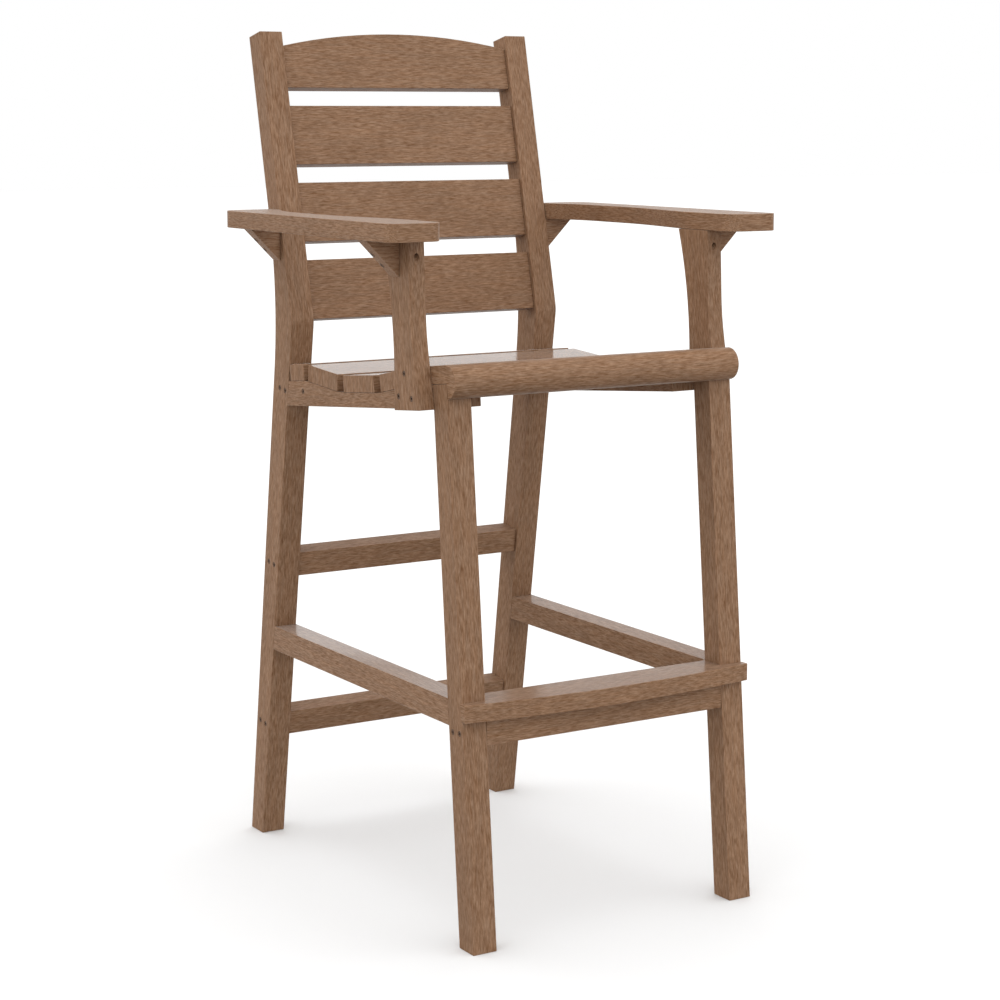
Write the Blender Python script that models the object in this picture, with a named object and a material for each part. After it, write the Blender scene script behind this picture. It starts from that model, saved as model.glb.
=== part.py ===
"""Bar-height arm chair built from square plastic-lumber sticks and flat boards.

Metres, +Z up. The chair faces -Y, stands on Z = 0 and is symmetric about X = 0.
Left and right are as seen from in front of the chair, so left is the -X side.
Side profiles are worked out with two-dimensional vectors that hold (Y, Z).
"""

import math

import bmesh
import bpy
from mathutils import Vector

# Stock, fits and edge finish
STICK = 0.0381
BOARD = 0.0254
CLEARANCE = 0.0003
EDGE_ROUND = 0.0008
EDGE_SEGMENTS = 2
EDGE_ANGLE = math.radians(35)
ARC_SAG = 0.0001

# Stance: the front faces of the legs at the floor, and how the legs lean
LEG_SPREAD = 0.4805
FRONT_FOOT_Y = -0.3522
FRONT_LEG_LEAN = math.radians(5.0)
REAR_FOOT_Y = 0.3123
REAR_LEG_LEAN = math.radians(8.68)

# Rear posts: a raked leg, a knee above the seat's rear edge, and a reclined upper part that
# stands past the ends of the top slat
KNEE_RISE = 0.0657
POST_HORN = 0.0206
BACK_LEAN = math.radians(12.55)
REAR_FOOT_DEPTH = 0.0408
KNEE_DEPTH = 0.0520
KNEE_FRONT_RADIUS = 0.040
KNEE_BACK_RADIUS = 0.650

# Seat: slats in a shallow dish, from the rear to the front, then a nose with a rolled lip
SEAT_REAR_HEIGHT = 0.7743
REAR_SLAT_WIDTH = 0.0464
SEAT_SLAT_WIDTH = 0.0944
SEAT_GAP = 0.0170
SEAT_SLAT_TILTS = tuple(math.radians(degrees) for degrees in (5.6, -3.4, 5.5, 11.3))
NOSE_TILT = math.radians(6.7)
LIP_RADIUS = 0.0235

# Seat frame
RAIL_REAR_DEPTH = 0.0395
RAIL_RISE = math.radians(5.33)
REAR_RAIL_DROP = 0.0408

# Back: straight slats with an arched one on top
BACK_SLAT_COUNT = 4
BACK_SLAT_RISE = 0.0037
BACK_SLAT_HEIGHT = 0.0919
BACK_SLAT_GAP = 0.0285
TOP_SLAT_END_HEIGHT = 0.0654
TOP_SLAT_CROWN = 0.0213

# Stretchers and footrest
UPPER_STRETCHER_HEIGHT = 0.4525
LOWER_STRETCHER_HEIGHT = 0.1867
FOOTREST_HEIGHT = 0.3518
FOOTREST_LIP = 0.0116
FOOTREST_BOW = 0.0190
FOOTREST_SIDE_LIP = 0.0025

# Arms: a board scooped out between the rear post and the arm post
ARM_RISE = 0.2354
ARM_LENGTH = 0.5297
ARM_WIDTH = 0.08645
ARM_REAR_INSET = 0.0125
SCOOP_DEPTH = 0.0265
SCOOP_REAR_RUN = 0.070
SCOOP_FRONT_RUN = 0.137
SCOOP_BOTTOM_RADII = (0.250, 0.500)
SCOOP_END_RADII = (0.080, 0.200)
ARM_REAR_RADIUS = 0.028
ARM_FRONT_OUTER_RADIUS = 0.018
ARM_FRONT_INNER_RADIUS = 0.025

# Arm posts: a shaped board on the seat frame, swept back under the arm
ARM_POST_SETBACK = 0.0653
ARM_POST_FOOT_WIDTH = 0.0690
ARM_POST_TOP_WIDTH = 0.0720
ARM_POST_BEND_RISE = 0.0445
ARM_POST_BEND_RADIUS = 0.6250
ARM_POST_FOOT_LEAN = math.radians(11.75)
ARM_POST_FRONT_LEAN = math.radians(2.6)
ARM_POST_FRONT_RADIUS = 0.400
POCKET_DROP = 0.0250
POCKET_RADIUS = 0.00425
POCKET_DEPTH = 0.0160
POCKET_PITCH = math.radians(49)

# Corner brackets under the arms
BRACKET_LEG = 0.0525
FRONT_BRACKET_SETBACK = 0.0226
REAR_BRACKET_ADVANCE = 0.0033

# Countersunk screws, and where they stand in each joint
SCREW_SIDES = 12
SCREW_HEAD_RADIUS = 0.00425
SCREW_HEAD_EDGE = 0.0006
SCREW_SHANK_RADIUS = 0.0022
SCREW_LENGTH = 0.0620
SCREW_TIP = 0.0040
SCREW_SOCKET_RADIUS = 0.0020
SCREW_SOCKET_DEPTH = 0.0016
SCREW_SINK = 0.0004
SCREW_PITCH = 0.0185
RAIL_SCREW_SETBACK = 0.0545
RAIL_SCREW_RISE = 0.0225
ARM_SCREW_PITCH = 0.0362
ARM_SCREW_LOW_RISE = 0.0175
ARM_SCREW_LOW_SETBACK = 0.0046
ARM_SCREW_NOSE_INSET = 0.0082
ARM_SCREW_NOSE_SETBACK = 0.0072

# Finishes: linear colour, roughness, metallic
LUMBER_FINISH = ((0.254, 0.144, 0.085), 0.45, 0.0)
SCREW_FINISH = ((0.060, 0.055, 0.052), 0.35, 1.0)

# Heights that follow the seat's rear edge
KNEE_HEIGHT = SEAT_REAR_HEIGHT + KNEE_RISE
ARM_HEIGHT = SEAT_REAR_HEIGHT + ARM_RISE
ARM_UNDERSIDE = ARM_HEIGHT - BOARD
RAIL_REAR_HEIGHT = SEAT_REAR_HEIGHT - BOARD - RAIL_REAR_DEPTH
REAR_RAIL_HEIGHT = SEAT_REAR_HEIGHT - REAR_RAIL_DROP

# Sides of the chair and the X planes of its legs
SIDES = (("left", -1), ("right", 1))
LEG_OUTSIDE = LEG_SPREAD / 2
LEG_INSIDE = LEG_OUTSIDE - STICK
LEG_MIDDLE = LEG_OUTSIDE - STICK / 2
SPAN_INSIDE = 2 * (LEG_INSIDE - CLEARANCE)
ARM_INSIDE = LEG_OUTSIDE + CLEARANCE

# Directions of the leaning members in the side view
FRONT_UP = Vector((math.sin(FRONT_LEG_LEAN), math.cos(FRONT_LEG_LEAN)))
REAR_UP = Vector((-math.sin(REAR_LEG_LEAN), math.cos(REAR_LEG_LEAN)))
BACK_UP = Vector((math.sin(BACK_LEAN), math.cos(BACK_LEAN)))
BACK_REARWARD = Vector((math.cos(BACK_LEAN), -math.sin(BACK_LEAN)))
HALF_TURN = math.pi
QUARTER_TURN = math.pi / 2


def rotated(vector, angle):
    """A two-dimensional vector turned anticlockwise."""
    cosine, sine = math.cos(angle), math.sin(angle)
    return Vector((vector.x * cosine - vector.y * sine, vector.x * sine + vector.y * cosine))


def meet(first, second):
    """Point where two lines cross; a line is a point and a direction."""
    (point, along), (other, across) = first, second
    return point + along * ((other - point).cross(across) / along.cross(across))


def moved(line, dy):
    """The same side-view line moved along Y."""
    point, direction = line
    return point + Vector((dy, 0)), direction


def y_at(line, z):
    """Y of a side-view line at a height."""
    point, direction = line
    return point.x + direction.x * (z - point.y) / direction.y


def arc(centre, arm, sweep):
    """Points on an arc that starts at the end of an arm and turns through an angle."""
    step = 2 * math.acos(1 - ARC_SAG / arm.length)
    count = max(2, math.ceil(abs(sweep) / step))
    return [centre + rotated(arm, sweep * index / count) for index in range(count + 1)]


def corner_arc(corner, before, after, radius):
    """Arc that eases a corner between its two neighbours, limited by half the shorter side."""
    back, ahead = (before - corner).normalized(), (after - corner).normalized()
    half_turn = (HALF_TURN - back.angle(ahead)) / 2
    wall = min((before - corner).length, (after - corner).length) / 2
    reach = min(radius * math.tan(half_turn), wall)
    centre = corner + (back + ahead).normalized() * (reach / math.sin(half_turn))
    start = corner + back * reach - centre
    end = corner + ahead * reach - centre
    return arc(centre, start, math.copysign(2 * half_turn, start.cross(end)))


def eased(corners):
    """Closed outline from (corner, radius) pairs; a radius of zero keeps the corner."""
    outline = []
    for index, (corner, radius) in enumerate(corners):
        before = corners[index - 1][0]
        after = corners[(index + 1) % len(corners)][0]
        outline.extend(corner_arc(corner, before, after, radius) if radius else [corner])
    return outline


LEG_FRONT = (Vector((FRONT_FOOT_Y, 0)), FRONT_UP)
LEG_REAR = moved(LEG_FRONT, STICK / FRONT_UP.y)
POST_FRONT_LOW = (Vector((REAR_FOOT_Y, 0)), REAR_UP)
KNEE = Vector((y_at(POST_FRONT_LOW, KNEE_HEIGHT), KNEE_HEIGHT))
POST_FRONT_HIGH = (KNEE, BACK_UP)
POST_REAR_HIGH = (KNEE + BACK_REARWARD * STICK, BACK_UP)
REAR_HEEL = Vector((REAR_FOOT_Y + REAR_FOOT_DEPTH, 0))
POST_REAR_LOW = (REAR_HEEL, (KNEE + Vector((KNEE_DEPTH, 0)) - REAR_HEEL).normalized())
BACK_PITCH = BACK_SLAT_HEIGHT + BACK_SLAT_GAP
TOP_SLAT_FOOT = BACK_SLAT_RISE + (BACK_SLAT_COUNT - 1) * BACK_PITCH


def post_front(z):
    """Front face line of the rear post, below or above the knee."""
    return POST_FRONT_LOW if z < KNEE_HEIGHT else POST_FRONT_HIGH


def forward(tilt):
    """Direction along a seat board towards the front, rising by its tilt."""
    return Vector((-math.cos(tilt), math.sin(tilt)))


def upward(tilt):
    """Direction square to a seat board, out of its top face."""
    return Vector((math.sin(tilt), math.cos(tilt)))


def seat_boards():
    """Top rear corner, width and tilt of each slat, then the top rear corner of the nose."""
    tilts = (*SEAT_SLAT_TILTS, NOSE_TILT)
    first = tilts[0]
    low = SEAT_REAR_HEIGHT - BOARD * math.cos(first)
    post = post_front(SEAT_REAR_HEIGHT)
    rear = min(y_at(post, SEAT_REAR_HEIGHT), y_at(post, low) + BOARD * math.sin(first))
    corner = Vector((rear - CLEARANCE, SEAT_REAR_HEIGHT))
    slats = []
    for index, tilt in enumerate(SEAT_SLAT_TILTS):
        width = SEAT_SLAT_WIDTH if index else REAR_SLAT_WIDTH
        slats.append((corner, width, tilt))
        mean_tilt = (tilt + tilts[index + 1]) / 2
        corner = corner + forward(tilt) * width + forward(mean_tilt) * SEAT_GAP
    return slats, corner


SEAT_SLATS, NOSE_REAR = seat_boards()
NOSE_UNDER = (NOSE_REAR - upward(NOSE_TILT) * BOARD, forward(NOSE_TILT))
NOSE_SEAT = (NOSE_UNDER[0] - Vector((0, CLEARANCE)), NOSE_UNDER[1])
RAIL_REAR = Vector((y_at(post_front(RAIL_REAR_HEIGHT), RAIL_REAR_HEIGHT) - CLEARANCE, RAIL_REAR_HEIGHT))
RAIL_BOTTOM = (RAIL_REAR, forward(RAIL_RISE))


def finish(piece, colour, roughness, metallic):
    """Give a piece a plain finish of its own."""
    material = bpy.data.materials.new(piece.name)
    material.use_nodes = True
    shader = material.node_tree.nodes["Principled BSDF"]
    shader.inputs["Base Color"].default_value = (*colour, 1)
    shader.inputs["Roughness"].default_value = roughness
    shader.inputs["Metallic"].default_value = metallic
    piece.data.materials.append(material)


def add_object(name, mesh_edit, location, rotation, parent):
    """Turn an edited mesh into a placed, named object with its faces pointing out."""
    bmesh.ops.recalc_face_normals(mesh_edit, faces=mesh_edit.faces)
    mesh = bpy.data.meshes.new(name)
    mesh_edit.to_mesh(mesh)
    mesh_edit.free()
    piece = bpy.data.objects.new(name, mesh)
    bpy.context.collection.objects.link(piece)
    piece.location = location
    piece.rotation_euler = rotation
    piece.parent = parent
    return piece


def add_lumber(name, mesh_edit, location, tilt, parent):
    """A lumber piece with softly eased edges, tilted about X."""
    piece = add_object(name, mesh_edit, location, (tilt, 0, 0), parent)
    edges = piece.modifiers.new("eased_edges", "BEVEL")
    edges.width = EDGE_ROUND
    edges.segments = EDGE_SEGMENTS
    edges.limit_method = "ANGLE"
    edges.angle_limit = EDGE_ANGLE
    finish(piece, *LUMBER_FINISH)
    return piece


def straight(name, size, location, tilt, parent):
    """A straight stick or board, centred on its location."""
    mesh_edit = bmesh.new()
    bmesh.ops.create_cube(mesh_edit, size=1)
    bmesh.ops.scale(mesh_edit, vec=size, verts=mesh_edit.verts)
    return add_lumber(name, mesh_edit, location, tilt, parent)


def shape(outline, place, sweep):
    """Closed mesh made by sweeping an outline, set in space by place, along a vector."""
    mesh_edit = bmesh.new()
    start = Vector(sweep) / -2
    face = mesh_edit.faces.new([mesh_edit.verts.new(Vector(place(point)) + start) for point in outline])
    swept = bmesh.ops.extrude_face_region(mesh_edit, geom=[face])
    moving = [item for item in swept["geom"] if isinstance(item, bmesh.types.BMVert)]
    bmesh.ops.translate(mesh_edit, vec=sweep, verts=moving)
    return mesh_edit


def side_profile(name, outline, x, thickness, parent):
    """A piece with a side-view outline, as thick as given along X and centred on x."""
    mesh_edit = shape(outline, lambda point: (0, point.x, point.y), (thickness, 0, 0))
    return add_lumber(name, mesh_edit, (x, 0, 0), 0, parent)


def plan_board(name, outline, top, parent):
    """A level board with an outline seen from above."""
    mesh_edit = shape(outline, lambda point: (point.x, point.y, 0), (0, 0, BOARD))
    return add_lumber(name, mesh_edit, (0, 0, top - BOARD / 2), 0, parent)


def front_board(name, outline, location, tilt, parent):
    """A board with an outline seen from the front, tilted about X."""
    mesh_edit = shape(outline, lambda point: (point.x, 0, point.y), (0, BOARD, 0))
    return add_lumber(name, mesh_edit, location, tilt, parent)


def turned(profile):
    """Closed mesh turned about Z from (radius, height) pairs that start and end on the axis."""
    mesh_edit = bmesh.new()
    points = [mesh_edit.verts.new((radius, 0, height)) for radius, height in profile]
    edges = [mesh_edit.edges.new(pair) for pair in zip(points, points[1:])]
    bmesh.ops.spin(mesh_edit, geom=points + edges, axis=(0, 0, 1), cent=(0, 0, 0),
                   angle=2 * HALF_TURN, steps=SCREW_SIDES, use_merge=True)
    bmesh.ops.remove_doubles(mesh_edit, verts=mesh_edit.verts, dist=CLEARANCE / 30)
    return mesh_edit


def cut(piece, cutter):
    """Cut a hole or a notch in a piece."""
    cutter.hide_render = True
    cutter.display_type = "WIRE"
    hole = piece.modifiers.new(cutter.name, "BOOLEAN")
    hole.object = cutter
    hole.solver = "EXACT"


def drive_screw(name, side, x, spot, pieces, parent):
    """Screw driven inwards at a spot (Y, Z) of an outer face at x, with its hole in each piece."""
    place = (side * (x - SCREW_SINK), *spot)
    rotation = (0, side * QUARTER_TURN, 0)
    cone = SCREW_HEAD_EDGE + SCREW_HEAD_RADIUS - SCREW_SHANK_RADIUS
    solid = turned([
        (0, -SCREW_SOCKET_DEPTH),
        (SCREW_SOCKET_RADIUS, -SCREW_SOCKET_DEPTH),
        (SCREW_SOCKET_RADIUS, 0),
        (SCREW_HEAD_RADIUS, 0),
        (SCREW_HEAD_RADIUS, -SCREW_HEAD_EDGE),
        (SCREW_SHANK_RADIUS, -cone),
        (SCREW_SHANK_RADIUS, SCREW_TIP - SCREW_LENGTH),
        (0, -SCREW_LENGTH),
    ])
    screw = add_object(name, solid, place, rotation, parent)
    screw.data.shade_smooth()
    screw.data.set_sharp_from_angle(angle=EDGE_ANGLE)
    finish(screw, *SCREW_FINISH)
    hole = turned([
        (0, 2 * SCREW_SINK),
        (SCREW_HEAD_RADIUS + CLEARANCE, 2 * SCREW_SINK),
        (SCREW_HEAD_RADIUS + CLEARANCE, -SCREW_HEAD_EDGE),
        (SCREW_SHANK_RADIUS + CLEARANCE, -cone),
        (SCREW_SHANK_RADIUS + CLEARANCE, SCREW_TIP - SCREW_LENGTH),
        (0, -SCREW_LENGTH - CLEARANCE),
    ])
    drill = add_object(name + "_hole", hole, place, rotation, parent)
    for piece in pieces:
        cut(piece, drill)


def make_rear_posts(parent):
    """Kneed posts that are the rear legs below and the back's uprights above."""
    top_front = KNEE + BACK_UP * (TOP_SLAT_FOOT + TOP_SLAT_END_HEIGHT + POST_HORN)
    outline = eased([
        (POST_FRONT_LOW[0], 0),
        (KNEE, KNEE_FRONT_RADIUS),
        (top_front, 0),
        (top_front + BACK_REARWARD * STICK, 0),
        (meet(POST_REAR_LOW, POST_REAR_HIGH), KNEE_BACK_RADIUS),
        (REAR_HEEL, 0),
    ])
    return {mark: side_profile(f"{mark}_rear_post", outline, side * LEG_MIDDLE, STICK, parent)
            for mark, side in SIDES}


def make_front_legs(parent):
    """Leaning front legs, cut on top to the slope of the seat's nose."""
    outline = [LEG_FRONT[0], LEG_REAR[0], meet(NOSE_SEAT, LEG_REAR), meet(NOSE_SEAT, LEG_FRONT)]
    return {mark: side_profile(f"{mark}_front_leg", outline, side * LEG_MIDDLE, STICK, parent)
            for mark, side in SIDES}


def make_seat_rails(parent):
    """Outer and inner rails on each side, shaped on top to carry the dished slats."""
    front_end = moved(LEG_REAR, CLEARANCE)
    rear_end = moved(post_front(SEAT_REAR_HEIGHT), -CLEARANCE)
    drop = Vector((0, CLEARANCE))
    first_rear, _, first_tilt = SEAT_SLATS[0]
    first_under = (first_rear - upward(first_tilt) * BOARD - drop, forward(first_tilt))
    outline = [RAIL_REAR, meet(RAIL_BOTTOM, front_end), meet(NOSE_SEAT, front_end), NOSE_SEAT[0]]
    for rear, width, tilt in reversed(SEAT_SLATS):
        under = rear - upward(tilt) * BOARD - drop
        outline.extend([under + forward(tilt) * width, under])
    outline.append(meet(first_under, rear_end))
    rails = {}
    rows = (("outer", LEG_MIDDLE), ("inner", LEG_MIDDLE - STICK - CLEARANCE))
    for mark, side in SIDES:
        for row, middle in rows:
            name = f"{mark}_{row}_seat_rail"
            rails[mark, row] = side_profile(name, outline, side * middle, STICK, parent)
    return rails


def make_seat_slats(parent):
    """Flat slats across the seat rails, numbered from the rear."""
    for number, (rear, width, tilt) in enumerate(SEAT_SLATS, 1):
        centre = rear + forward(tilt) * (width / 2) - upward(tilt) * (BOARD / 2)
        straight(f"seat_slat_{number}", (LEG_SPREAD, width, BOARD), (0, *centre), -tilt, parent)


def make_seat_nose(parent):
    """Front seat board with a half-round lip that hooks over the front legs."""
    face = moved(LEG_FRONT, -CLEARANCE)
    up = upward(NOSE_TILT)
    centre = meet((NOSE_REAR - up * LIP_RADIUS, forward(NOSE_TILT)), face)
    sweep = HALF_TURN + FRONT_LEG_LEAN - NOSE_TILT
    lip = arc(centre, up * LIP_RADIUS, sweep)
    outline = [NOSE_REAR, *lip, meet(NOSE_UNDER, face), NOSE_UNDER[0]]
    return side_profile("seat_nose", outline, 0, LEG_SPREAD, parent)


def make_back_slats(parent):
    """Slats between the posts, numbered from the lowest; the top one is arched."""
    half = SPAN_INSIDE / 2
    plane = KNEE + BACK_REARWARD * (STICK / 2)
    for number in range(1, BACK_SLAT_COUNT):
        rise = BACK_SLAT_RISE + (number - 1) * BACK_PITCH
        centre = plane + BACK_UP * (rise + BACK_SLAT_HEIGHT / 2)
        size = (SPAN_INSIDE, BOARD, BACK_SLAT_HEIGHT)
        straight(f"back_slat_{number}", size, (0, *centre), -BACK_LEAN, parent)
    radius = (half ** 2 + TOP_SLAT_CROWN ** 2) / (2 * TOP_SLAT_CROWN)
    spread = math.asin(half / radius)
    centre = Vector((0, TOP_SLAT_END_HEIGHT + TOP_SLAT_CROWN - radius))
    crown = arc(centre, rotated(Vector((0, radius)), -spread), 2 * spread)
    outline = [Vector((-half, 0)), Vector((half, 0)), *crown]
    foot = plane + BACK_UP * TOP_SLAT_FOOT
    front_board(f"back_slat_{BACK_SLAT_COUNT}", outline, (0, *foot), -BACK_LEAN, parent)


def make_cross_rail(name, height, lean, setback, parent):
    """Square stick between the rear posts at a height; returns it with its centre and its lean."""
    line = post_front(height)
    front = height - math.sin(lean) * setback
    centre = Vector((y_at(line, front) + math.cos(lean) * setback, height))
    piece = straight(name, (SPAN_INSIDE, STICK, STICK), (0, *centre), lean, parent)
    return piece, centre, lean


def make_rear_rails(parent):
    """Seat rail flush with the posts' front faces, and two stretchers in the middle of the legs."""
    back_lean = math.atan2(-POST_REAR_LOW[1].x, POST_REAR_LOW[1].y)
    middle_lean = (REAR_LEG_LEAN + back_lean) / 2
    rails = {}
    node = "rear_seat_rail"
    rails[node] = make_cross_rail(node, REAR_RAIL_HEIGHT, REAR_LEG_LEAN, STICK / 2, parent)
    for place, height in (("upper", UPPER_STRETCHER_HEIGHT), ("lower", LOWER_STRETCHER_HEIGHT)):
        depth = y_at(POST_REAR_LOW, height) - y_at(POST_FRONT_LOW, height)
        node = f"{place}_rear_stretcher"
        rails[node] = make_cross_rail(node, height, middle_lean, depth / 2, parent)
    return rails


def make_side_stretchers(parent):
    """Sticks between the front leg and the rear post on each side, level with the footrest."""
    top = FOOTREST_HEIGHT
    bottom = top - STICK
    front_end = moved(LEG_REAR, CLEARANCE)
    rear_end = moved(POST_FRONT_LOW, -CLEARANCE)
    outline = [Vector((y_at(line, z), z)) for line, z in
               ((rear_end, bottom), (front_end, bottom), (front_end, top), (rear_end, top))]
    for mark, side in SIDES:
        side_profile(f"{mark}_side_stretcher", outline, side * LEG_MIDDLE, STICK, parent)


def make_footrest(parent):
    """Bowed plank notched round the front legs, on a stretcher between them."""
    underside = FOOTREST_HEIGHT - BOARD
    level = FOOTREST_HEIGHT - BOARD / 2
    leg_middle = moved(LEG_FRONT, STICK / FRONT_UP.y / 2)
    half = LEG_OUTSIDE + FOOTREST_SIDE_LIP
    ends = y_at(LEG_FRONT, level) - FOOTREST_LIP
    radius = (half ** 2 + FOOTREST_BOW ** 2) / (2 * FOOTREST_BOW)
    spread = math.asin(half / radius)
    centre = Vector((0, ends - FOOTREST_BOW + radius))
    bow = arc(centre, rotated(Vector((0, -radius)), -spread), 2 * spread)
    notch = y_at(leg_middle, level)
    rear = y_at(LEG_REAR, level)
    inner = SPAN_INSIDE / 2
    outline = [*bow, Vector((half, notch)), Vector((inner, notch)), Vector((inner, rear)),
               Vector((-inner, rear)), Vector((-inner, notch)), Vector((-half, notch))]
    plank = plan_board("footrest", outline, FOOTREST_HEIGHT, parent)
    cut_leg_notches(plank, half, parent)
    height = underside - CLEARANCE - STICK / 2
    centre = Vector((y_at(leg_middle, height), height))
    size = (SPAN_INSIDE, STICK, STICK)
    return straight("front_stretcher", size, (0, *centre), 0, parent), centre, -FRONT_LEG_LEAN


def cut_leg_notches(plank, half, parent):
    """Trim the footrest's ends to the slope of the front legs' faces."""
    low, high = FOOTREST_HEIGHT - 2 * BOARD, FOOTREST_HEIGHT + BOARD
    face = moved(LEG_FRONT, -CLEARANCE)
    behind = moved(LEG_REAR, STICK)
    outline = [Vector((y_at(line, z), z)) for line, z in
               ((face, low), (behind, low), (behind, high), (face, high))]
    inner = SPAN_INSIDE / 2
    reach = half + STICK - inner
    for mark, side in SIDES:
        mesh_edit = shape(outline, lambda point: (0, point.x, point.y), (reach, 0, 0))
        place = (side * (inner + reach / 2), 0, 0)
        cut(plank, add_object(f"{mark}_leg_notch", mesh_edit, place, (0, 0, 0), parent))


def arm_post_outline():
    """Side outline of an arm post, from its rear foot round the front to the swept-back rear edge."""
    leg_corner = meet(RAIL_BOTTOM, LEG_REAR)
    edge = (leg_corner + Vector((ARM_POST_SETBACK, 0)), Vector((0, 1)))
    heel = meet(RAIL_BOTTOM, edge)
    bend = heel.y + ARM_POST_BEND_RISE
    toe = heel + forward(RAIL_RISE) * ARM_POST_FOOT_WIDTH
    top = ARM_UNDERSIDE - CLEARANCE
    centre = Vector((heel.x + ARM_POST_BEND_RADIUS, bend))
    sweep = math.asin((top - bend) / ARM_POST_BEND_RADIUS)
    rear_edge = arc(centre, Vector((-ARM_POST_BEND_RADIUS, 0)), -sweep)
    top_rear = rear_edge[-1]
    top_front = top_rear - Vector((ARM_POST_TOP_WIDTH, 0))
    low = (toe, Vector((math.sin(ARM_POST_FOOT_LEAN), math.cos(ARM_POST_FOOT_LEAN))))
    high = (top_front, Vector((math.sin(ARM_POST_FRONT_LEAN), math.cos(ARM_POST_FRONT_LEAN))))
    front_edge = corner_arc(meet(low, high), toe, top_front, ARM_POST_FRONT_RADIUS)
    outline = [heel, toe, *front_edge, top_front, *reversed(rear_edge)]
    return outline, heel, high, top_rear


def make_arm_posts(parent):
    """Shaped boards on the outer faces of the seat frame, each with an angled screw pocket in front."""
    outline, heel, front_line, top_rear = arm_post_outline()
    middle = ARM_INSIDE + BOARD / 2
    height = ARM_UNDERSIDE - POCKET_DROP
    mouth = Vector((y_at(front_line, height), height))
    posts = {}
    for mark, side in SIDES:
        posts[mark] = side_profile(f"{mark}_arm_post", outline, side * middle, BOARD, parent)
        drill = turned([
            (0, POCKET_DEPTH),
            (POCKET_RADIUS, POCKET_DEPTH),
            (POCKET_RADIUS, -BOARD),
            (0, -BOARD),
        ])
        rotation = (POCKET_PITCH - QUARTER_TURN, 0, 0)
        pocket = add_object(f"{mark}_pocket", drill, (side * middle, *mouth), rotation, parent)
        cut(posts[mark], pocket)
    return posts, heel, top_rear


def make_arms(scoop_front, parent):
    """Level arm boards, scooped on the inner side between the rear post and the arm post."""
    level = ARM_HEIGHT - BOARD / 2
    rear = y_at(POST_REAR_HIGH, level) - ARM_REAR_INSET
    front = rear - ARM_LENGTH
    inner, outer = ARM_INSIDE, ARM_INSIDE + ARM_WIDTH
    floor = inner + SCOOP_DEPTH
    scoop_rear = y_at(POST_FRONT_HIGH, level)
    corners = (
        ((inner, rear), 0),
        ((outer, rear), ARM_REAR_RADIUS),
        ((outer, front), ARM_FRONT_OUTER_RADIUS),
        ((inner, front), ARM_FRONT_INNER_RADIUS),
        ((inner, scoop_front), SCOOP_END_RADII[1]),
        ((floor, scoop_front + SCOOP_FRONT_RUN), SCOOP_BOTTOM_RADII[1]),
        ((floor, scoop_rear - SCOOP_REAR_RUN), SCOOP_BOTTOM_RADII[0]),
        ((inner, scoop_rear), SCOOP_END_RADII[0]),
    )
    for mark, side in SIDES:
        outline = eased([(Vector((side * x, y)), radius) for (x, y), radius in corners])
        plan_board(f"{mark}_arm", outline, ARM_HEIGHT, parent)


def make_brackets(front_y, parent):
    """Triangular blocks in the corners under the arms, on the rear posts and on the arm posts."""
    top = ARM_UNDERSIDE - CLEARANCE
    post_middle = (y_at(POST_FRONT_HIGH, top) + y_at(POST_REAR_HIGH, top)) / 2
    rear_y = post_middle - REAR_BRACKET_ADVANCE
    seats = (("rear", ARM_INSIDE, rear_y), ("front", ARM_INSIDE + BOARD + CLEARANCE, front_y))
    for mark, side in SIDES:
        for end, face, y in seats:
            outline = [Vector((0, 0)), Vector((side * BRACKET_LEG, 0)), Vector((0, -BRACKET_LEG))]
            front_board(f"{mark}_{end}_arm_bracket", outline, (side * face, y, top), 0, parent)


def screw_pair(centre, lean):
    """Two spots either side of a stick's centre, square to the lean of its leg."""
    offset = Vector((math.cos(lean), math.sin(lean))) * (SCREW_PITCH / 2)
    return centre - offset, centre + offset


def make_screws(rear_rails, front_stretcher, posts, legs, rails, arm_posts, nose, heel, parent):
    """Screws through the legs, rails and arm posts, seen on the chair's sides."""
    rail_spot = RAIL_REAR + forward(RAIL_RISE) * RAIL_SCREW_SETBACK + Vector((0, RAIL_SCREW_RISE))
    foot_middle = heel + forward(RAIL_RISE) * (ARM_POST_FOOT_WIDTH / 2)
    low_middle = foot_middle + Vector((ARM_SCREW_LOW_SETBACK, ARM_SCREW_LOW_RISE))
    step = Vector((ARM_SCREW_PITCH / 2, 0))
    nose_line = (NOSE_REAR - Vector((0, ARM_SCREW_NOSE_INSET)), forward(NOSE_TILT))
    plumb = (foot_middle + Vector((ARM_SCREW_NOSE_SETBACK, 0)), Vector((0, 1)))
    arm_spots = (low_middle + step, low_middle - step, meet(nose_line, plumb))
    for mark, side in SIDES:
        for node, (piece, centre, lean) in rear_rails.items():
            for number, spot in enumerate(screw_pair(centre, lean), 1):
                name = f"{mark}_{node}_screw_{number}"
                drive_screw(name, side, LEG_OUTSIDE, spot, (posts[mark], piece), parent)
        stretcher, centre, lean = front_stretcher
        for number, spot in enumerate(screw_pair(centre, lean), 1):
            name = f"{mark}_front_stretcher_screw_{number}"
            drive_screw(name, side, LEG_OUTSIDE, spot, (legs[mark], stretcher), parent)
        pair = (rails[mark, "outer"], rails[mark, "inner"])
        drive_screw(f"{mark}_seat_rail_screw", side, LEG_OUTSIDE, rail_spot, pair, parent)
        for number, spot in enumerate(arm_spots, 1):
            name = f"{mark}_arm_post_screw_{number}"
            pieces = (arm_posts[mark], *pair, nose)
            drive_screw(name, side, ARM_INSIDE + BOARD, spot, pieces, parent)


def clear_scene():
    """Start from an empty scene."""
    for leftover in list(bpy.data.objects):
        bpy.data.objects.remove(leftover, do_unlink=True)


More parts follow.
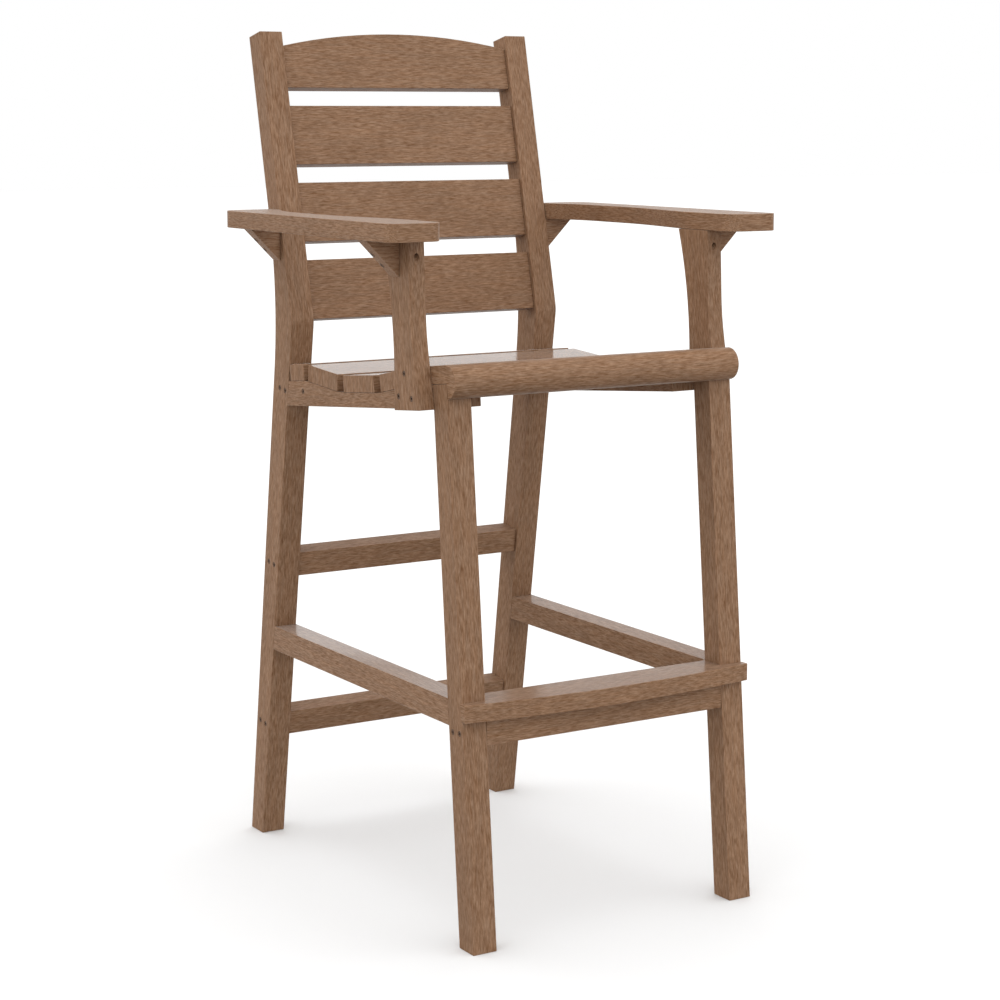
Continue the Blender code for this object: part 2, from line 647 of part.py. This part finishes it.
def main():
    """Build every piece of the chair."""
    clear_scene()
    chair = bpy.data.objects.new("chair", None)
    bpy.context.collection.objects.link(chair)
    posts = make_rear_posts(chair)
    legs = make_front_legs(chair)
    rails = make_seat_rails(chair)
    make_seat_slats(chair)
    nose = make_seat_nose(chair)
    make_back_slats(chair)
    rear_rails = make_rear_rails(chair)
    make_side_stretchers(chair)
    front_stretcher = make_footrest(chair)
    arm_posts, heel, top_rear = make_arm_posts(chair)
    make_arms(top_rear.x, chair)
    make_brackets(top_rear.x - FRONT_BRACKET_SETBACK - BOARD / 2, chair)
    make_screws(rear_rails, front_stretcher, posts, legs, rails, arm_posts, nose, heel, chair)


main()
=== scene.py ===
import math
import random
from collections import namedtuple

import bmesh
import bpy
from mathutils import Matrix, Vector


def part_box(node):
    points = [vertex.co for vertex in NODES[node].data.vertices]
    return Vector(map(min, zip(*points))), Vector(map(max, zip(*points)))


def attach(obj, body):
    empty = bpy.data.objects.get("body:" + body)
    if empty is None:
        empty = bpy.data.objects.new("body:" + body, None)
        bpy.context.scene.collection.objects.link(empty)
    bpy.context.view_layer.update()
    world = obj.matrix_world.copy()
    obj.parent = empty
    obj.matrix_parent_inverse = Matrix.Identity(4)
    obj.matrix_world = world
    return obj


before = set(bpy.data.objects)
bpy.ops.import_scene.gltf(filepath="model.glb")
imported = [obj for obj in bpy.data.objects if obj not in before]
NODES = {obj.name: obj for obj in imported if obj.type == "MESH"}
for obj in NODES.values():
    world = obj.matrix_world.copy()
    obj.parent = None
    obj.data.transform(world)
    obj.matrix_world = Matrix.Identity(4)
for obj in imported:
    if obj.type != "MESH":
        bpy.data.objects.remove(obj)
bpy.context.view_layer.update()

# Directions in the chair's own frame
ACROSS = Vector((1, 0, 0))
REARWARD = Vector((0, 1, 0))
UPRIGHT = Vector((0, 0, 1))

# Camera: a long lens in front of the chair, to its left and a little above the arms
CAMERA_PLACE = (-1.8527, -3.0448, 1.1577)
CAMERA_YAW = math.radians(-31.585)
CAMERA_PITCH = math.radians(-8.15)
CAMERA_LENS = 85.04
CAMERA_SHIFT = -0.05

# Studio: an even dome of light over a pale floor that sends little of it back up
WHITE = (1.0, 1.0, 1.0, 1.0)
DOME_LIGHT = 1.55
DOME_SEEN = 1.0
FLOOR_HALF = 30.0
FLOOR_SEEN = 0.76
FLOOR_BOUNCE = 0.34
FLOOR_ROUGHNESS = 0.9

# Lumber: two linear browns that take turns in long streaks
ORANGE_BROWN = (0.254, 0.138, 0.0735)
GREY_BROWN = (0.235, 0.134, 0.0759)

# Shares of the brown in its grain, where dark fibres are redder and pale ones greyer
DARK_FIBRE = (0.608, 0.510, 0.411)
PALE_FIBRE = (1.347, 1.498, 1.704)
PORE_SHADE = (0.795, 0.733, 0.664)
PLAIN_SHADE = (1.0, 1.0, 1.0)

# Shares of the brown in blotches, drawn for each board, and painted light: the arm brackets, in shade
# under the arms, are made paler all over
DARK_BLOTCH = (0.93, 0.97)
PALE_BLOTCH = (1.03, 1.07)
PAINTED_LIGHT_BOARDS = {"arm_bracket": 1.15}

# Layers of noise: sizes in metres along the grain and across it, then how fine and how rough
Layer = namedtuple("Layer", "along across detail roughness")
FIBRE = Layer(along=0.014, across=0.0015, detail=3.0, roughness=0.60)
PORE = Layer(along=0.009, across=0.0014, detail=1.0, roughness=0.50)
STREAK = Layer(along=0.040, across=0.0040, detail=2.0, roughness=0.60)
BLOTCH = Layer(along=0.160, across=0.0300, detail=1.0, roughness=0.50)
WAVE = Layer(along=0.050, across=0.0150, detail=1.0, roughness=0.50)
WEAR_HIGHLIGHT = Layer(along=0.020, across=0.0060, detail=2.0, roughness=0.60)
MOTTLE = Layer(along=0.0015, across=0.0015, detail=3.0, roughness=0.60)

# Stretches of a noise's values over which its marks go from none to full
UNIT = (0.0, 1.0)
FIBRE_SPAN = (0.28, 0.72)
PORE_SPAN = (0.58, 0.70)
STREAK_SPAN = (0.34, 0.66)
WEAR_HIGHLIGHT_SPAN = (0.38, 0.60)
MIDDLE_SPAN = (0.30, 0.70)
NOISE_MIDDLE = (0.5, 0.5, 0.5)

# Grain: depth of its wave, how far apart the boards' samples lie, and the cosine that tells a sawn end
WAVE_DEPTH = 0.0020
SAMPLE_REACH = 9.0
SAWN_COSINE = 0.75

# Surface of the lumber: roughness and gloss from dark fibres to pale ones, and an embossed bump
LUMBER_IOR = 1.34
LUMBER_ROUGHNESS = (0.47, 0.35)
GLOSS_STREAKS = (0.70, 1.30)
BUMP_STRENGTH = 0.20
BUMP_DEPTH = 0.0004

# Sheen: a soft paleness at a grazing view, stronger on a few boards
SHEEN_SPREAD = 0.30
PLAIN_SHEEN = 0.12
STRONG_SHEEN = {
    "left_arm": 0.19,
    "right_arm": 0.19,
    "left_side_stretcher": 0.34,
}

# Gloss by the turn of a face away from the eye, nought for square on and one for edge on
FRONT_TURN = (0.15, 0.50)
FRONT_GLOSS = (0.22, 0.07)
POLISH_TURN = (0.56, 0.74)
GRAZING_TURN = (0.70, 0.78)

# Boards whose polish shows at a grazing view: the share of roughness left and the gloss there
POLISH = {
    "seat_slat": (0.30, 0.90),
    "left_side_stretcher": (0.50, 0.80),
    "right_side_stretcher": (0.50, 0.14),
    "footrest": (0.50, 0.14),
}

# Wear and painted highlight: paler patches along the edges, partly wear and partly a painted highlight on
# the eased edges, told by the cosine between a face's normal and its rounded one
WEAR_HIGHLIGHT_REACH = 0.0014
WEAR_HIGHLIGHT_SAMPLES = 4
WEAR_HIGHLIGHT_COSINES = (0.90, 0.995)
WEAR_HIGHLIGHT_STRENGTH = (0.2, 1.0)
WEAR_HIGHLIGHT_LIGHT = 1.16

# Lean of the boards in the side view: angles above the rearward direction, and the kneed posts' slopes
LEG_ANGLE = math.radians(85.0)
RAIL_ANGLE = math.radians(-5.33)
ARM_POST_ANGLE = math.radians(82.0)
KNEE_HEIGHT = 0.840
LOW_POST_SLOPE = -0.1527
HIGH_POST_SLOPE = 0.2227

# Dark coated steel of all screws
SCREW_COLOURS = ((0.085, 0.047, 0.028), (0.140, 0.081, 0.048))
SCREW_ROUGHNESS = (0.62, 0.48)
SCREW_METALLIC = 0.25
SCREW_GLOSS = 0.25

# Heads of the screws on the arm brackets: an upright skirt, a sloping shoulder, a flat crown and a socket
HEAD_RADIUS = 0.0043
HEAD_RISE = 0.0009
HEAD_SIDES = 24
SKIRT_RISE = 0.45 * HEAD_RISE
SHOULDER_RADIUS = 0.88 * HEAD_RADIUS
SHOULDER_RISE = 0.85 * HEAD_RISE
CROWN_RADIUS = 0.66 * HEAD_RADIUS
SOCKET_RADIUS = 0.0018
SOCKET_DEPTH = 0.0005

# Their places: shares of the way down the slanted face, and a step back from its middle
SCREW_STATIONS = (0.40, 0.69)
SCREW_REARWARD = 0.007

# Shading: points closer than a weld are one, and edges steeper than an angle stay sharp
NODE_WELD = 0.00001
NODE_SHARP = math.radians(50)
HEAD_WELD = 0.000001
HEAD_SHARP = math.radians(40)

# Places of the mix node's sockets: its two inputs and its output, for vectors and for colours
VECTOR_SOCKETS = (4, 5, 1)
COLOUR_SOCKETS = (6, 7, 2)


def side_direction(angle):
    """Unit vector in the side view, at an angle above the rearward direction."""
    return Vector((0, math.cos(angle), math.sin(angle)))


# Grain by the end of a board's name: its direction, whether it bends at the knee, and the axes
# in place of along, across and through on a sawn end, where fibres run with thickness or width
THICKNESS_GRAIN = "YZX"
WIDTH_GRAIN = "ZXY"
GRAIN = (
    ("rear_post", UPRIGHT, True, THICKNESS_GRAIN),
    ("front_leg", side_direction(LEG_ANGLE), False, THICKNESS_GRAIN),
    ("outer_seat_rail", side_direction(RAIL_ANGLE), False, THICKNESS_GRAIN),
    ("inner_seat_rail", side_direction(RAIL_ANGLE), False, THICKNESS_GRAIN),
    ("side_stretcher", REARWARD, False, THICKNESS_GRAIN),
    ("arm_post", side_direction(ARM_POST_ANGLE), False, THICKNESS_GRAIN),
    ("arm", REARWARD, False, WIDTH_GRAIN),
    ("seat_nose", ACROSS, False, WIDTH_GRAIN),
    ("footrest", ACROSS, False, WIDTH_GRAIN),
    ("", ACROSS, False, THICKNESS_GRAIN),
)


def by_mark(table, name, default):
    """The table's value for the first mark that a name holds."""
    return next((value for mark, value in table.items() if mark in name), default)


def link(tree, source, target):
    """Join two sockets."""
    tree.links.new(source, target)


def add_node(tree, kind, **settings):
    """A new node with its properties set."""
    node = tree.nodes.new(kind)
    for key, value in settings.items():
        setattr(node, key, value)
    return node


def math_node(tree, operation, first, second):
    """A math node; each side is a socket or a number."""
    node = add_node(tree, "ShaderNodeMath", operation=operation)
    for socket, value in zip(node.inputs, (first, second)):
        if isinstance(value, (int, float)):
            socket.default_value = value
        else:
            link(tree, value, socket)
    return node.outputs[0]


def ranged(tree, value, span, result=UNIT):
    """Map a value from one range to another, clamped."""
    node = add_node(tree, "ShaderNodeMapRange")
    link(tree, value, node.inputs["Value"])
    for key, number in zip(("From Min", "From Max", "To Min", "To Max"), (*span, *result)):
        node.inputs[key].default_value = number
    return node.outputs["Result"]


def mixed(tree, blend, factor, first, second):
    """Mix of two colours; each is a socket or a colour."""
    node = add_node(tree, "ShaderNodeMix", data_type="RGBA", blend_type=blend)
    low, high, result = COLOUR_SOCKETS
    sockets = (node.inputs["Factor"], node.inputs[low], node.inputs[high])
    for socket, value in zip(sockets, (factor, first, second)):
        if isinstance(value, bpy.types.NodeSocket):
            link(tree, value, socket)
        else:
            socket.default_value = value if isinstance(value, float) else (*value, 1)
    return node.outputs[result]


def noise(tree, vector, layer, output="Fac"):
    """Noise stretched to a layer's sizes along and across the grain."""
    mapping = add_node(tree, "ShaderNodeMapping", vector_type="TEXTURE")
    mapping.inputs["Scale"].default_value = (layer.along, layer.across, layer.across)
    link(tree, vector, mapping.inputs["Vector"])
    texture = add_node(tree, "ShaderNodeTexNoise")
    texture.inputs["Scale"].default_value = 1.0
    texture.inputs["Detail"].default_value = layer.detail
    texture.inputs["Roughness"].default_value = layer.roughness
    link(tree, mapping.outputs["Vector"], texture.inputs["Vector"])
    return texture.outputs[output]


def straightened(tree, vector):
    """Coordinates of a kneed post, with both of its parts set upright."""
    parts = add_node(tree, "ShaderNodeSeparateXYZ")
    link(tree, vector, parts.inputs[0])
    rise = math_node(tree, "SUBTRACT", parts.outputs["Z"], KNEE_HEIGHT)
    below = math_node(tree, "MINIMUM", rise, 0.0)
    above = math_node(tree, "MAXIMUM", rise, 0.0)
    low = math_node(tree, "MULTIPLY", below, LOW_POST_SLOPE)
    high = math_node(tree, "MULTIPLY", above, HIGH_POST_SLOPE)
    lean = math_node(tree, "ADD", low, high)
    depth = math_node(tree, "SUBTRACT", parts.outputs["Y"], lean)
    joined = add_node(tree, "ShaderNodeCombineXYZ")
    link(tree, parts.outputs["X"], joined.inputs["X"])
    link(tree, depth, joined.inputs["Y"])
    link(tree, parts.outputs["Z"], joined.inputs["Z"])
    return joined.outputs[0]


def aligned_vector(tree, along, shift, kneed):
    """Coordinates with a board's length along X, moved to a sample of its own."""
    place = add_node(tree, "ShaderNodeTexCoord").outputs["Object"]
    if kneed:
        place = straightened(tree, place)
    side = along.cross(REARWARD if along == ACROSS else ACROSS).normalized()
    turn = Matrix((along, side, along.cross(side))).transposed().to_euler()
    aligned = add_node(tree, "ShaderNodeMapping", vector_type="TEXTURE")
    aligned.inputs["Location"].default_value = shift
    aligned.inputs["Rotation"].default_value = turn
    link(tree, place, aligned.inputs["Vector"])
    return aligned.outputs["Vector"]


def sawn_end(tree, along):
    """One on the faces at a board's ends, nought on its sides."""
    facing = add_node(tree, "ShaderNodeVectorMath", operation="DOT_PRODUCT")
    link(tree, add_node(tree, "ShaderNodeNewGeometry").outputs["Normal"], facing.inputs[0])
    facing.inputs[1].default_value = along
    cosine = math_node(tree, "ABSOLUTE", facing.outputs["Value"], 0.0)
    return math_node(tree, "GREATER_THAN", cosine, SAWN_COSINE)


def grain_vector(tree, along, shift, kneed, end_grain):
    """Coordinates with the grain along X, turned on the sawn ends to run along another axis."""
    aligned = aligned_vector(tree, along, shift, kneed)
    parts = add_node(tree, "ShaderNodeSeparateXYZ")
    link(tree, aligned, parts.inputs[0])
    swapped = add_node(tree, "ShaderNodeCombineXYZ")
    for source, target in zip(end_grain, "XYZ"):
        link(tree, parts.outputs[source], swapped.inputs[target])
    chosen = add_node(tree, "ShaderNodeMix", data_type="VECTOR")
    low, high, result = VECTOR_SOCKETS
    link(tree, sawn_end(tree, along), chosen.inputs["Factor"])
    link(tree, aligned, chosen.inputs[low])
    link(tree, swapped.outputs[0], chosen.inputs[high])
    return chosen.outputs[result]


def wavy(tree, vector):
    """The same coordinates with a slow wave in them."""
    centred = add_node(tree, "ShaderNodeVectorMath", operation="SUBTRACT")
    link(tree, noise(tree, vector, WAVE, "Color"), centred.inputs[0])
    centred.inputs[1].default_value = NOISE_MIDDLE
    scaled = add_node(tree, "ShaderNodeVectorMath", operation="SCALE")
    link(tree, centred.outputs[0], scaled.inputs[0])
    scaled.inputs["Scale"].default_value = WAVE_DEPTH
    moved = add_node(tree, "ShaderNodeVectorMath", operation="ADD")
    link(tree, vector, moved.inputs[0])
    link(tree, scaled.outputs[0], moved.inputs[1])
    return moved.outputs[0]


def edge_wear_and_highlight(tree, vector):
    """Nought on plain faces, up to one in patches along the edges, where wear and a painted highlight go.
    """
    rounded = add_node(tree, "ShaderNodeBevel", samples=WEAR_HIGHLIGHT_SAMPLES)
    rounded.inputs["Radius"].default_value = WEAR_HIGHLIGHT_REACH
    turned = add_node(tree, "ShaderNodeVectorMath", operation="DOT_PRODUCT")
    link(tree, rounded.outputs["Normal"], turned.inputs[0])
    link(tree, add_node(tree, "ShaderNodeNewGeometry").outputs["Normal"], turned.inputs[1])
    edge = ranged(tree, turned.outputs["Value"], WEAR_HIGHLIGHT_COSINES, (1.0, 0.0))
    patch = ranged(tree, noise(tree, vector, WEAR_HIGHLIGHT), WEAR_HIGHLIGHT_SPAN, WEAR_HIGHLIGHT_STRENGTH)
    return math_node(tree, "MULTIPLY", edge, patch)


def new_material(name):
    """A material, its node tree and its shader."""
    material = bpy.data.materials.new(name)
    material.use_nodes = True
    tree = material.node_tree
    return material, tree, tree.nodes["Principled BSDF"]


def new_object(name, data):
    """An object in the scene."""
    made = bpy.data.objects.new(name, data)
    bpy.context.scene.collection.objects.link(made)
    return made


def lumber_colour(tree, vector, fibre, streak, blotches, painted_light_share):
    """Streaky brown with fibres, pores, blotches, edges paler with wear and painted highlight, and
    painted light on paler boards.
    """
    colour = mixed(tree, "MIX", ranged(tree, streak, STREAK_SPAN), GREY_BROWN, ORANGE_BROWN)
    fibres = mixed(tree, "MIX", ranged(tree, fibre, FIBRE_SPAN), DARK_FIBRE, PALE_FIBRE)
    pore = ranged(tree, noise(tree, vector, PORE), PORE_SPAN)
    pores = mixed(tree, "MIX", pore, PLAIN_SHADE, PORE_SHADE)
    # Paler edges: partly wear, partly a painted highlight on the eased edges
    worn_and_highlit = ranged(tree, edge_wear_and_highlight(tree, vector), UNIT, (painted_light_share, painted_light_share * WEAR_HIGHLIGHT_LIGHT))
    tone = ranged(tree, noise(tree, vector, BLOTCH), MIDDLE_SPAN, blotches)
    for shade in (fibres, pores, math_node(tree, "MULTIPLY", worn_and_highlit, tone)):
        colour = mixed(tree, "MULTIPLY", 1.0, colour, shade)
    return colour


def lumber_gloss(tree, fibre, polish):
    """Roughness and gloss of a board, smoother and glossier at a grazing view if it has a polish."""
    facing = add_node(tree, "ShaderNodeLayerWeight").outputs["Facing"]
    roughness = ranged(tree, fibre, MIDDLE_SPAN, LUMBER_ROUGHNESS)
    gloss = ranged(tree, facing, FRONT_TURN, FRONT_GLOSS)
    if polish:
        roughness_left, grazing_gloss = polish
        smoother = ranged(tree, facing, POLISH_TURN, (1.0, roughness_left))
        roughness = math_node(tree, "MULTIPLY", roughness, smoother)
        glossier = ranged(tree, facing, GRAZING_TURN, (FRONT_GLOSS[1], grazing_gloss))
        gloss = math_node(tree, "MAXIMUM", gloss, glossier)
    gloss = math_node(tree, "MULTIPLY", gloss, ranged(tree, fibre, MIDDLE_SPAN, GLOSS_STREAKS))
    return roughness, gloss


def lumber_relief(tree, fibre, streak):
    """Bump of the embossed grain."""
    bump = add_node(tree, "ShaderNodeBump")
    bump.inputs["Strength"].default_value = BUMP_STRENGTH
    bump.inputs["Distance"].default_value = BUMP_DEPTH
    link(tree, math_node(tree, "ADD", fibre, streak), bump.inputs["Height"])
    return bump.outputs["Normal"]


def lumber(board, seed):
    """Brown plastic lumber with embossed, streaky grain along a board."""
    chance = random.Random(seed)
    material, tree, shader = new_material(f"lumber_{board}")
    along, kneed, end_grain = next(rest for mark, *rest in GRAIN if board.endswith(mark))
    shift = tuple(chance.uniform(-SAMPLE_REACH, SAMPLE_REACH) for _ in range(3))
    blotches = (chance.uniform(*DARK_BLOTCH), chance.uniform(*PALE_BLOTCH))
    vector = wavy(tree, grain_vector(tree, along, shift, kneed, end_grain))
    fibre = noise(tree, vector, FIBRE)
    streak = noise(tree, vector, STREAK)
    # Painted light: the arm brackets' colour is made paler to stand in for light under the arms
    painted_light_share = by_mark(PAINTED_LIGHT_BOARDS, board, 1.0)
    colour = lumber_colour(tree, vector, fibre, streak, blotches, painted_light_share)
    roughness, gloss = lumber_gloss(tree, fibre, by_mark(POLISH, board, None))
    link(tree, colour, shader.inputs["Base Color"])
    link(tree, roughness, shader.inputs["Roughness"])
    link(tree, gloss, shader.inputs["Specular IOR Level"])
    link(tree, lumber_relief(tree, fibre, streak), shader.inputs["Normal"])
    shader.inputs["IOR"].default_value = LUMBER_IOR
    shader.inputs["Sheen Weight"].default_value = STRONG_SHEEN.get(board, PLAIN_SHEEN)
    shader.inputs["Sheen Roughness"].default_value = SHEEN_SPREAD
    return material


def dark_steel(name):
    """Dark coated steel with a slightly mottled sheen."""
    material, tree, shader = new_material(name)
    mottle = noise(tree, add_node(tree, "ShaderNodeTexCoord").outputs["Object"], MOTTLE)
    colour = mixed(tree, "MIX", ranged(tree, mottle, MIDDLE_SPAN), *SCREW_COLOURS)
    link(tree, colour, shader.inputs["Base Color"])
    link(tree, ranged(tree, mottle, MIDDLE_SPAN, SCREW_ROUGHNESS), shader.inputs["Roughness"])
    shader.inputs["Metallic"].default_value = SCREW_METALLIC
    shader.inputs["Specular IOR Level"].default_value = SCREW_GLOSS
    return material


def smoothing_group():
    """Geometry nodes that join the faces of a node and shade its eased edges smoothly."""
    tree = bpy.data.node_groups.new("smooth_shading", "GeometryNodeTree")
    tree.interface.new_socket("Geometry", in_out="INPUT", socket_type="NodeSocketGeometry")
    tree.interface.new_socket("Geometry", in_out="OUTPUT", socket_type="NodeSocketGeometry")
    start = add_node(tree, "NodeGroupInput")
    plain = add_node(tree, "GeometryNodeRemoveAttribute")
    plain.inputs["Name"].default_value = "custom_normal"
    weld = add_node(tree, "GeometryNodeMergeByDistance")
    weld.inputs["Distance"].default_value = NODE_WELD
    faces = add_node(tree, "GeometryNodeSetShadeSmooth", domain="FACE")
    edges = add_node(tree, "GeometryNodeSetShadeSmooth", domain="EDGE")
    edges.inputs["Shade Smooth"].default_value = False
    end = add_node(tree, "NodeGroupOutput")
    angle = add_node(tree, "GeometryNodeInputMeshEdgeAngle")
    steep = add_node(tree, "FunctionNodeCompare", operation="GREATER_THAN")
    steep.inputs["B"].default_value = NODE_SHARP
    link(tree, angle.outputs["Unsigned Angle"], steep.inputs["A"])
    link(tree, steep.outputs["Result"], edges.inputs["Selection"])
    stages = (start, plain, weld, faces, edges, end)
    for before, after in zip(stages, stages[1:]):
        link(tree, before.outputs["Geometry"], after.inputs["Geometry"])
    return tree


def dress_nodes(screw_material):
    """Smooth shading and a finish of its own for every CAD node."""
    group = smoothing_group()
    for seed, (name, node) in enumerate(sorted(NODES.items())):
        smooth = node.modifiers.new("smooth_shading", "NODES")
        smooth.node_group = group
        weighted = node.modifiers.new("weighted_normals", "WEIGHTED_NORMAL")
        weighted.keep_sharp = True
        finish = screw_material if "_screw" in name else lumber(name, seed)
        for slot in node.material_slots:
            slot.material = finish


def head_mesh(name):
    """A low round screw head with a driver socket, standing on the level."""
    socket_floor = HEAD_RISE - SOCKET_DEPTH
    profile = (
        (0.0, 0.0),
        (HEAD_RADIUS, 0.0),
        (HEAD_RADIUS, SKIRT_RISE),
        (SHOULDER_RADIUS, SHOULDER_RISE),
        (CROWN_RADIUS, HEAD_RISE),
        (SOCKET_RADIUS, HEAD_RISE),
        (SOCKET_RADIUS, socket_floor),
        (0.0, socket_floor),
    )
    edit = bmesh.new()
    points = [edit.verts.new((radius, 0, height)) for radius, height in profile]
    edges = [edit.edges.new(pair) for pair in zip(points, points[1:])]
    bmesh.ops.spin(edit, geom=points + edges, axis=(0, 0, 1), cent=(0, 0, 0), angle=2 * math.pi,
                   steps=HEAD_SIDES, use_merge=True)
    bmesh.ops.remove_doubles(edit, verts=edit.verts, dist=HEAD_WELD)
    bmesh.ops.recalc_face_normals(edit, faces=edit.faces)
    mesh = bpy.data.meshes.new(name)
    edit.to_mesh(mesh)
    edit.free()
    mesh.shade_smooth()
    mesh.set_sharp_from_angle(angle=HEAD_SHARP)
    return mesh


def bracket_screw(name, place, outward, material):
    """A screw head resting on a slanted face."""
    mesh = head_mesh(name)
    mesh.materials.append(material)
    piece = new_object(name, mesh)
    piece.location = place
    piece.rotation_euler = outward.to_track_quat("Z", "Y").to_euler()
    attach(piece, "root")


def make_bracket_screws(material):
    """Two screws on the slanted face of each arm bracket."""
    for mark, side in (("left", -1), ("right", 1)):
        for end in ("rear", "front"):
            bracket = f"{mark}_{end}_arm_bracket"
            low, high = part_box(bracket)
            inner, outer = (high.x, low.x) if side < 0 else (low.x, high.x)
            depth = (low.y + high.y) / 2 + SCREW_REARWARD
            top = Vector((outer, depth, high.z))
            foot = Vector((inner, depth, low.z))
            outward = Vector((side, 0, -1)).normalized()
            for number, station in enumerate(SCREW_STATIONS, 1):
                bracket_screw(f"{bracket}_screw_{number}", top.lerp(foot, station), outward, material)


def background_level(tree, light, seen):
    """One level where the background gives light, another where it is seen, straight or in a gloss."""
    path = add_node(tree, "ShaderNodeLightPath")
    looked_at = math_node(tree, "MAXIMUM", path.outputs["Is Camera Ray"], path.outputs["Is Glossy Ray"])
    looked_at = math_node(tree, "MAXIMUM", looked_at, path.outputs["Is Transmission Ray"])
    return ranged(tree, looked_at, UNIT, (light, seen))


def make_floor():
    """A plain pale floor, which keeps the chair's shadow."""
    mesh = bpy.data.meshes.new("floor")
    corners = [(x * FLOOR_HALF, y * FLOOR_HALF, 0) for x, y in ((-1, -1), (1, -1), (1, 1), (-1, 1))]
    mesh.from_pydata(corners, [], [(0, 1, 2, 3)])
    floor = new_object("floor", mesh)
    material, tree, shader = new_material("pale_floor")
    link(tree, background_level(tree, FLOOR_BOUNCE, FLOOR_SEEN), shader.inputs["Base Color"])
    shader.inputs["Roughness"].default_value = FLOOR_ROUGHNESS
    shader.inputs["Specular IOR Level"].default_value = 0.0
    mesh.materials.append(material)


def make_dome():
    """Even light from all round, seen as plain white."""
    world = bpy.data.worlds.new("studio")
    world.use_nodes = True
    tree = world.node_tree
    background = tree.nodes["Background"]
    background.inputs["Color"].default_value = WHITE
    link(tree, background_level(tree, DOME_LIGHT, DOME_SEEN), background.inputs["Strength"])
    bpy.context.scene.world = world


def make_camera():
    """The photograph's point of view."""
    data = bpy.data.cameras.new("camera")
    data.lens = CAMERA_LENS
    data.shift_y = CAMERA_SHIFT
    camera = new_object("camera", data)
    camera.location = CAMERA_PLACE
    camera.rotation_euler = (math.pi / 2 + CAMERA_PITCH, 0, CAMERA_YAW)
    bpy.context.scene.camera = camera


screw_steel = dark_steel("screw_steel")
dress_nodes(screw_steel)
make_bracket_screws(screw_steel)
make_floor()
make_dome()
make_camera()
bpy.context.scene.view_settings.view_transform = "Standard"
